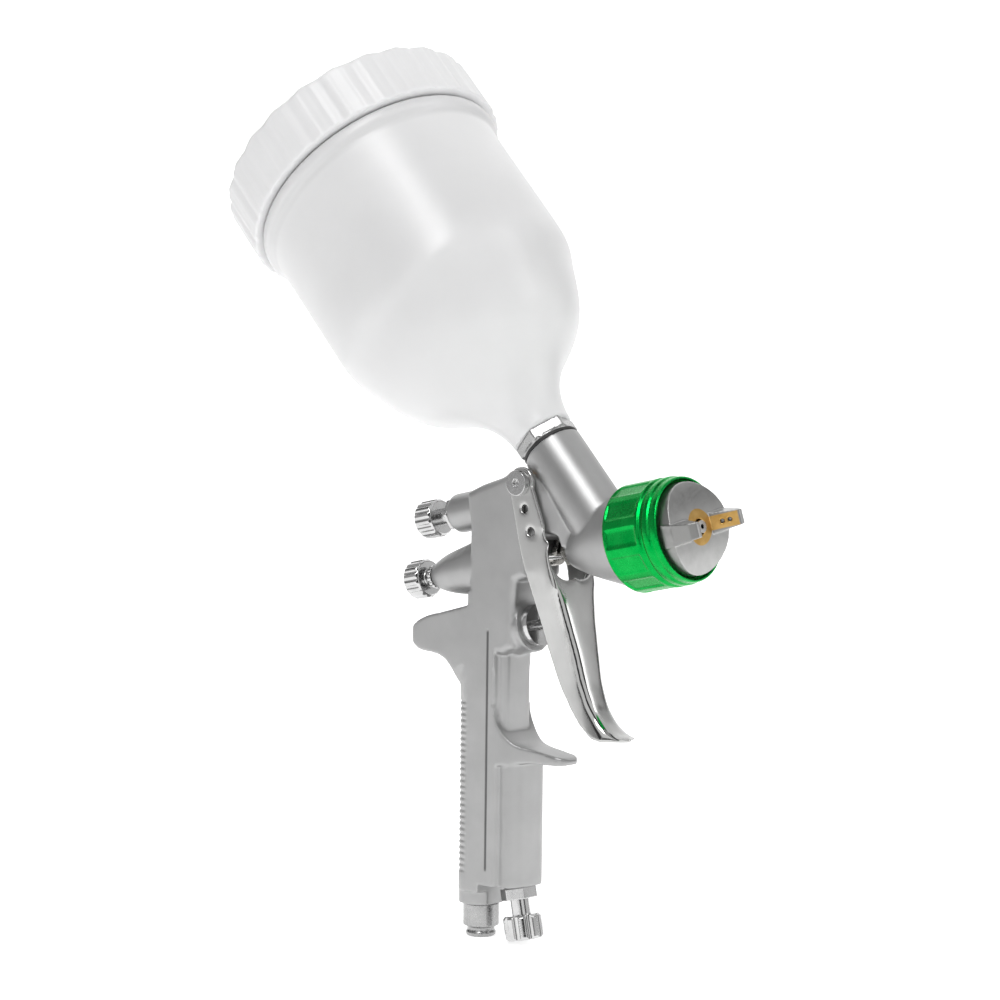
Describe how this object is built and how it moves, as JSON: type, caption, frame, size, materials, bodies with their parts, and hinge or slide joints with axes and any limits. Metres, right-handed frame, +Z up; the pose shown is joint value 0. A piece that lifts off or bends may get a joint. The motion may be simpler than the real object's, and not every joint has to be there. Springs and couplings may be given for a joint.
{
  "type": "hvlp spray gun",
  "caption": "Gravity-feed HVLP spray gun with a pistol grip, side-plated trigger, fluid and fan controls, air-flow valve, air cap with horns and a screw-on paint cup with lid.",
  "frame": {"origin": "centre of the outer end of the air-inlet thread, at the foot of the grip", "axes": "+Z up the grip and away from the hose, +X the way the gun sprays, +Y the gun's left side"},
  "size_m": [0.2171, 0.105, 0.3246],
  "materials": {
    "cast_body": "satin bead-blasted cast aluminium",
    "trigger_metal": "satin nickel with polished edges",
    "chrome": "bright chrome plate",
    "plated_steel": "nickel plate",
    "stainless": "turned stainless steel",
    "spring_steel": "drawn spring wire",
    "brass": "machined brass",
    "cap_metal": "satin plated air cap, brass-coloured inner horn faces",
    "green_ring": "bright green anodised aluminium",
    "cup_plastic": "translucent white polyethylene",
    "lid_plastic": "white polyethylene",
    "rubber": "black nitrile rubber",
    "nylon": "natural nylon"
  },
  "bodies": {
    "gun": {"gun_body": "cast_body", "air_inlet_nipple": "plated_steel", "fluid_nozzle": "stainless", "nozzle_baffle": "brass", "packing_nut": "plated_steel", "needle_packing": "nylon", "needle_spring": "spring_steel", "fluid_lock_ring": "chrome", "fan_bush": "chrome", "air_valve_nut": "chrome", "air_valve_seal": "rubber", "air_valve_seat": "brass", "air_valve_spring": "spring_steel", "flow_valve_nut": "chrome", "pivot_sleeve": "brass", "pivot_screw": "chrome", "pivot_nut": "chrome"},
    "air_cap_ring": {"air_cap_ring": "green_ring", "cap_snap_ring": "spring_steel"},
    "air_cap": {"air_cap": "cap_metal"},
    "needle": {"fluid_needle": "stainless", "needle_shoulder": "brass", "needle_collar": "brass"},
    "fluid_knob": {"fluid_knob": "chrome"},
    "fan_knob": {"fan_knob": "chrome", "fan_spindle": "stainless"},
    "air_valve": {"air_valve_stem": "stainless"},
    "flow_knob": {"flow_valve_knob": "chrome", "flow_valve_stem": "chrome"},
    "trigger": {"trigger": "trigger_metal", "needle_yoke": "chrome"},
    "cup": {"cup_body": "cup_plastic", "cup_adapter": "plated_steel", "cup_gasket": "rubber", "paint_strainer": "nylon"},
    "lid": {"cup_lid": "lid_plastic", "lid_gasket": "rubber"},
    "vent_plug": {"lid_vent_plug": "lid_plastic"}
  },
  "joints": [
    {"name": "trigger_pull", "type": "hinge", "parent": "gun", "child": "trigger", "pos_m": [0.0276, 0, 0.163], "axis": [0, 1, 0], "range_deg": [0, 9], "stiffness_Nm_per_rad": 1, "springref_deg": -11.46},
    {"name": "needle_draw", "type": "slide", "parent": "gun", "child": "needle", "axis": [-0.9799, 0, -0.1994], "range_m": [0, 0.0042], "stiffness_N_per_m": 1, "springref_m": -0.0155, "deforming": ["needle_spring"]},
    {"name": "air_valve_open", "type": "slide", "parent": "gun", "child": "air_valve", "axis": [-0.9799, 0, -0.1994], "range_m": [0, 0.0079], "stiffness_N_per_m": 0.6, "springref_m": -0.014, "deforming": ["air_valve_spring"]},
    {"name": "fluid_knob_turn", "type": "hinge", "parent": "gun", "child": "fluid_knob", "pos_m": [0.06, 0, 0.14294], "axis": [-0.9799, 0, -0.1994], "range_deg": [0, 720]},
    {"name": "fan_knob_turn", "type": "hinge", "parent": "gun", "child": "fan_knob", "pos_m": [0, 0, 0.1523], "axis": [-0.9799, 0, -0.1994], "range_deg": [0, 540]},
    {"name": "flow_knob_turn", "type": "hinge", "parent": "gun", "child": "flow_knob", "pos_m": [0.0176, 0, 0.0174], "axis": [0.2079, 0, -0.9781], "range_deg": [0, 450]},
    {"name": "ring_turn", "type": "hinge", "parent": "gun", "child": "air_cap_ring", "pos_m": [0.06, 0, 0.14294], "axis": [0.9799, 0, 0.1994], "continuous": true},
    {"name": "air_cap_turn", "type": "hinge", "parent": "air_cap_ring", "child": "air_cap", "pos_m": [0.06, 0, 0.14294], "axis": [0.9799, 0, 0.1994], "range_deg": [-90, 90]},
    {"name": "cup_lift", "type": "slide", "parent": "gun", "child": "cup", "axis": [-0.682, 0, 0.7314], "range_m": [0, 0.03]},
    {"name": "lid_lift", "type": "slide", "parent": "cup", "child": "lid", "axis": [-0.682, 0, 0.7314], "range_m": [0, 0.04]},
    {"name": "vent_plug_pull", "type": "slide", "parent": "lid", "child": "vent_plug", "axis": [-0.682, 0, 0.7314], "range_m": [0, 0.01]}
  ],
  "couplings": [
    {"joint": "needle_draw", "follows": "trigger_pull", "m_per_rad": 0.0261},
    {"joint": "air_valve_open", "follows": "trigger_pull", "m_per_rad": 0.0499}
  ]
}
